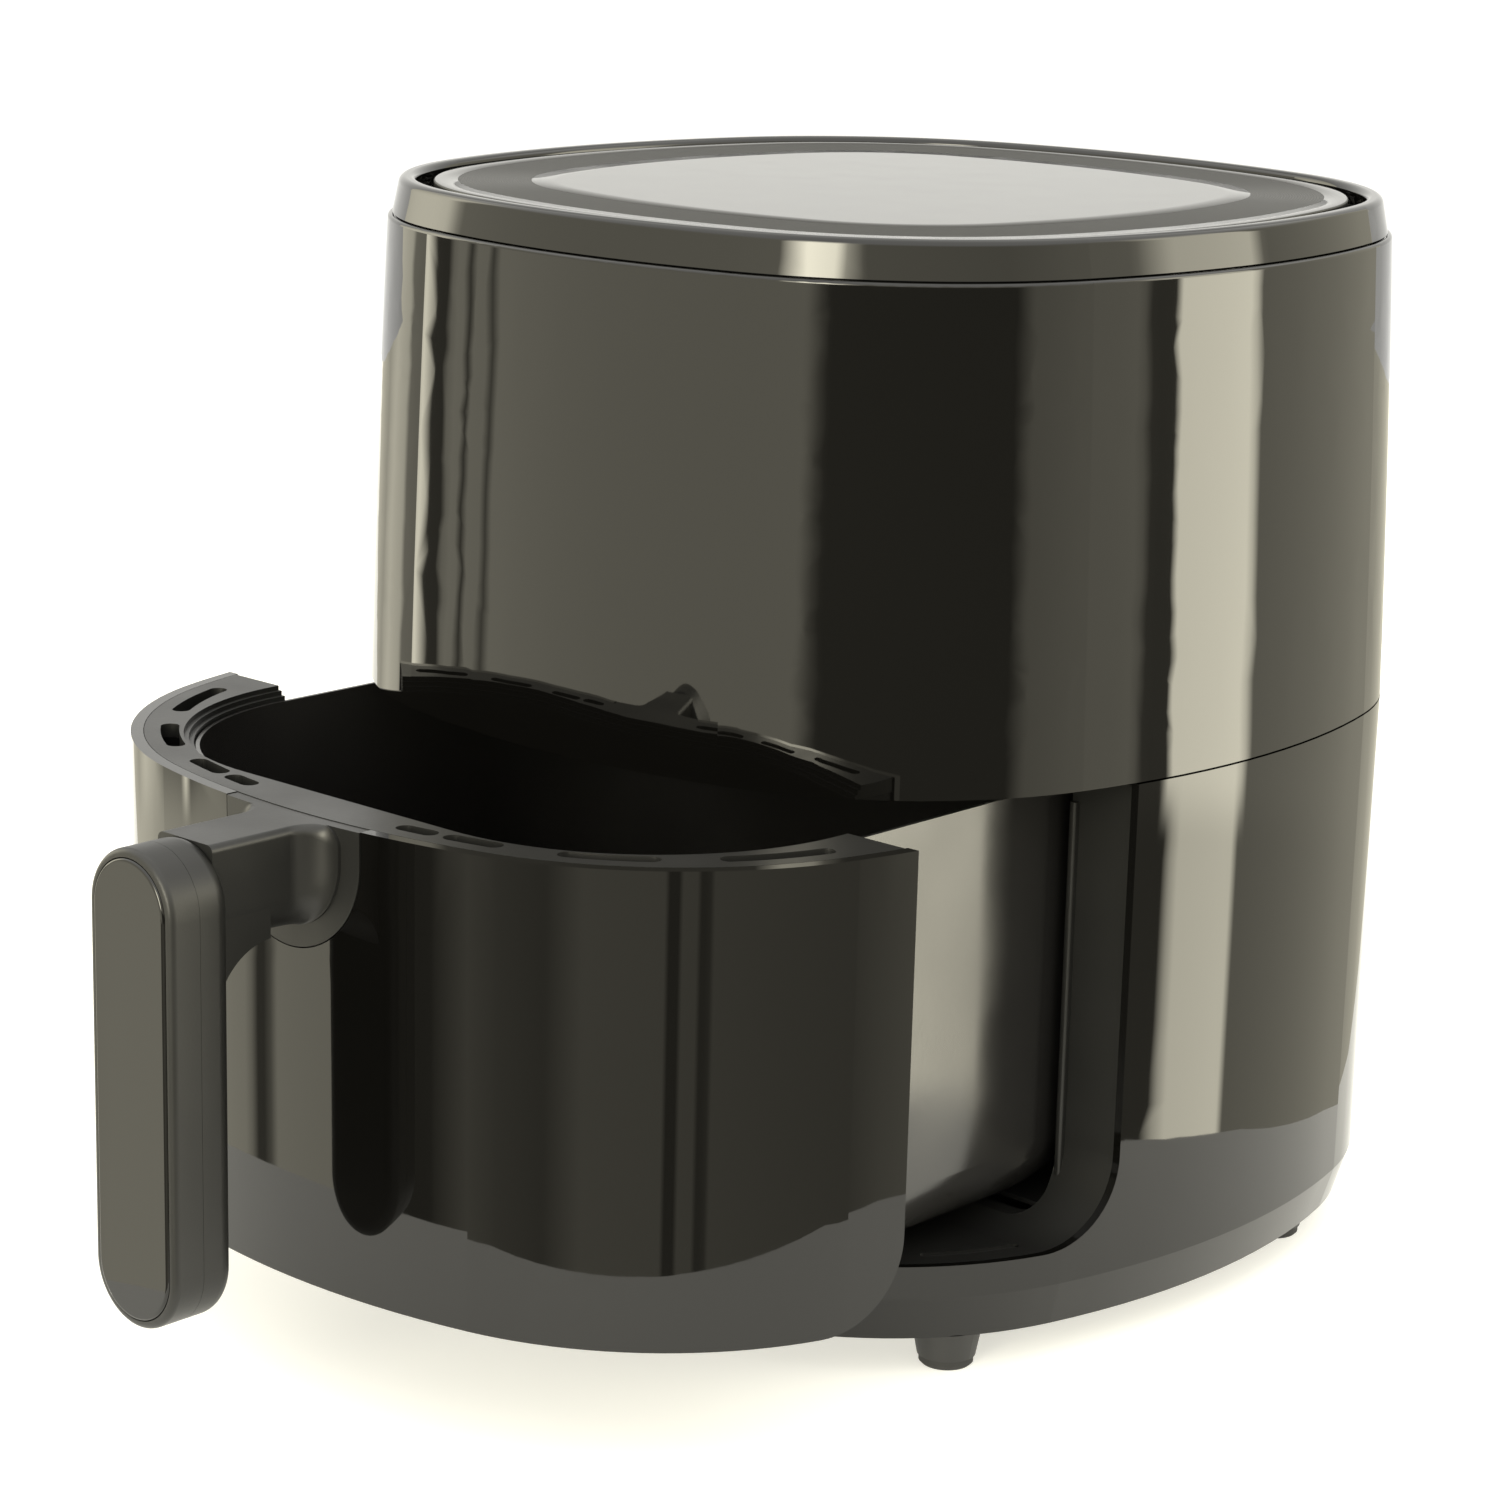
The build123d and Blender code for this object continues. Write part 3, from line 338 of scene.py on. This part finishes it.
def sweep_piece(name, rows, material):
    """A surface through rows of (distance back, height, left end, right end) across the studio."""
    back = Vector((-math.sin(STUDIO_TURN), math.cos(STUDIO_TURN)))
    side = Vector((math.cos(STUDIO_TURN), math.sin(STUDIO_TURN)))
    mesh = bpy.data.meshes.new(name)
    build = bmesh.new()
    strips = []
    for along, height, left, right in rows:
        spots = [left + (right - left) * i / STRIP_FACES for i in range(STRIP_FACES + 1)]
        strips.append([build.verts.new((*(back * along + side * s), height)) for s in spots])
    for low, high in zip(strips, strips[1:]):
        for i in range(STRIP_FACES):
            build.faces.new((low[i], low[i + 1], high[i + 1], high[i])).smooth = True
    build.to_mesh(mesh)
    build.free()
    piece = bpy.data.objects.new(name, mesh)
    bpy.context.scene.collection.objects.link(piece)
    mesh.materials.append(material)


def studio_floor():
    """A pale table with a round front that widens to the back, and a backdrop curving up behind it."""
    table = []
    for i in range(1, TABLE_STEPS + 1):
        turn = math.radians(90 * i / TABLE_STEPS)
        half = TABLE_RADIUS * math.sin(turn)
        table.append((-TABLE_RADIUS * math.cos(turn), 0.0, -half, half))
    table += [TABLE_SHOULDER, TABLE_END]
    sweep_piece("floor", table, pale_material("table_top", (0.58, 0.575, 0.55), (0.60, 0.59, 0.54)))
    wall = []
    for i in range(BACKDROP_STEPS + 1):
        turn = math.radians(90 * i / BACKDROP_STEPS)
        wall.append((TABLE_BACK + BACKDROP_RADIUS * math.sin(turn),
                     BACKDROP_RADIUS * (1 - math.cos(turn)), BACKDROP_LEFT, BACKDROP_RIGHT))
    wall.append((TABLE_BACK + BACKDROP_RADIUS, BACKDROP_HEIGHT, BACKDROP_LEFT, BACKDROP_RIGHT))
    sweep_piece("backdrop", wall, pale_material("backdrop", (0.09, 0.09, 0.09), (0.86, 0.855, 0.83)))


studio_floor()


# ---- Studio: the room that the polished surfaces mirror ------------------------------------------
# Each stop is (degrees round from the front towards +X, brightness). LOWER_ROOM reaches up to
# LOWER_TOP, UPPER_ROOM from there to HORIZON, and HIGH_ROOM from there to the ceiling. These three
# are (elevation, half the height of the soft step there), in degrees.

UPPER_ROOM = [(-180, 1.0), (-104, 1.0), (-96, 2.0), (-86, 2.2), (-83, 0.9), (-74.2, 0.9), (-73.7, 6.2),
              (-72.2, 6.2), (-71.8, 0.2), (-67.8, 0.2), (-67.4, 1.5), (-63.6, 1.5), (-63.3, 0.3),
              (-62.7, 0.3), (-62.4, 1.55), (-58.4, 1.6), (-58.1, 0.5), (-57.6, 0.5), (-57.3, 1.7),
              (-54, 1.75), (12, 1.95), (17, 0.7), (20, 0.25),
              (82, 0.22), (88, 1.2), (119, 1.6), (121, 0.35), (125.3, 0.35), (126.2, 9.5),
              (141.6, 8.5), (142.8, 1.2), (180, 1.0)]
LOWER_ROOM = [(-180, 1.0), (-110, 1.0), (-90, 1.8), (-58, 1.9), (-57, 0.3), (-54, 0.3), (-52, 1.9),
              (-38, 1.95), (-37, 0.14), (-24, 0.15), (-19, 0.8), (-8, 0.5), (8, 0.38), (20, 0.85),
              (45.6, 0.8), (46.0, 0.2), (49.8, 0.2), (50.2, 0.75),
              (55.4, 0.72), (55.8, 0.25), (59.0, 0.25), (59.4, 0.7), (108, 0.5),
              (119, 1.1), (121, 0.28), (127.6, 0.25), (128.2, 7.0), (140.6, 6.4), (141.6, 1.05),
              (180, 1.0)]
HIGH_ROOM = [(-180, 1.6), (-100, 1.6), (-88, 3.0), (-72, 5.0), (-68, 1.3), (0, 1.9), (5, 11.0),
             (10, 21.0), (20, 18.0), (24, 6.0), (30, 1.4), (80, 1.2), (119, 1.7), (126, 6.4),
             (142, 6.0), (145, 1.2), (180, 1.2)]
LOWER_TOP, HORIZON, CEILING_START = (-15.0, 0.6), (0.0, 2.0), (28.0, 10.0)
ROOM_STRENGTH = 12.0
CEILING = (2.2 / ROOM_STRENGTH, 2.17 / ROOM_STRENGTH, 2.05 / ROOM_STRENGTH, 1)
LAMPLIGHT = (1.0, 0.95, 0.76, 1)


def ramp(nodes, links, value, stops):
    """Brightness by a value that runs from 0 to 1 once round the room."""
    node = nodes.new("ShaderNodeValToRGB")
    elements = node.color_ramp.elements
    while len(elements) > 1:
        elements.remove(elements[-1])
    for i, (angle, level) in enumerate(stops):
        place = (angle + 180) / 360
        element = elements[0] if i == 0 else elements.new(place)
        element.position = place
        grey = level / ROOM_STRENGTH
        element.color = (grey, grey, grey, 1)
    links.new(value, node.inputs["Fac"])
    return node.outputs["Color"]


def calculated(nodes, links, operation, *values):
    node = nodes.new("ShaderNodeMath")
    node.operation = operation
    for socket, value in zip(node.inputs, values):
        connect(links, value, socket)
    return node.outputs[0]


def above(nodes, links, height, elevation, softness):
    """0 below an elevation in degrees and 1 above it, with a soft step between."""
    node = nodes.new("ShaderNodeMapRange")
    node.interpolation_type = "SMOOTHSTEP"
    node.inputs["From Min"].default_value = math.sin(math.radians(elevation - softness))
    node.inputs["From Max"].default_value = math.sin(math.radians(elevation + softness))
    links.new(height, node.inputs["Value"])
    return node.outputs["Result"]


def surroundings():
    """The room round the table, three bands of warm light under an even ceiling."""
    world = bpy.data.worlds.new("studio")
    world.use_nodes = True
    bpy.context.scene.world = world
    nodes, links = world.node_tree.nodes, world.node_tree.links
    split = nodes.new("ShaderNodeSeparateXYZ")
    links.new(nodes.new("ShaderNodeTexCoord").outputs["Generated"], split.inputs[0])
    height = split.outputs["Z"]
    front = calculated(nodes, links, "MULTIPLY", split.outputs["Y"], -1.0)
    turn = calculated(nodes, links, "ARCTAN2", split.outputs["X"], front)
    place = calculated(nodes, links, "MULTIPLY_ADD", turn, 1 / (2 * math.pi), 0.5)
    upper = ramp(nodes, links, place, UPPER_ROOM)
    lower = ramp(nodes, links, place, LOWER_ROOM)
    high = ramp(nodes, links, place, HIGH_ROOM)
    room = mixed(nodes, links, above(nodes, links, height, *LOWER_TOP), lower, upper)
    room = mixed(nodes, links, above(nodes, links, height, *HORIZON), room, high)
    room = mixed(nodes, links, 1.0, room, LAMPLIGHT, "MULTIPLY")
    room = mixed(nodes, links, above(nodes, links, height, *CEILING_START), room, CEILING)
    background = nodes["Background"]
    links.new(room, background.inputs["Color"])
    background.inputs["Strength"].default_value = ROOM_STRENGTH


surroundings()


# ---- Camera --------------------------------------------------------------------------------------

CAMERA_PLACE = (0.8077, -0.86985, 0.4625)
CAMERA_AZIMUTH, CAMERA_ELEVATION, CAMERA_ROLL = 42.327, 14.105, 1.359
SENSOR_WIDTH, LENS = 36.0, 94.82


def camera():
    """Stands in front and to the right of the object, a little above it and slightly rolled."""
    azimuth, elevation, roll = (math.radians(v) for v in (CAMERA_AZIMUTH, CAMERA_ELEVATION, CAMERA_ROLL))
    back = Vector((math.sin(azimuth) * math.cos(elevation), -math.cos(azimuth) * math.cos(elevation),
                   math.sin(elevation)))
    right = back.cross(Vector((0, 0, -1))).normalized()
    up = back.cross(right)
    tilted_right = right * math.cos(roll) + up * math.sin(roll)
    tilted_up = up * math.cos(roll) - right * math.sin(roll)
    data = bpy.data.cameras.new("camera")
    data.sensor_width = SENSOR_WIDTH
    data.lens = LENS
    eye = bpy.data.objects.new("camera", data)
    axes = Matrix((tilted_right, tilted_up, back)).transposed()
    eye.matrix_world = Matrix.Translation(CAMERA_PLACE) @ axes.to_4x4()
    bpy.context.scene.collection.objects.link(eye)
    bpy.context.scene.camera = eye


camera()
bpy.context.scene.view_settings.view_transform = "Standard"
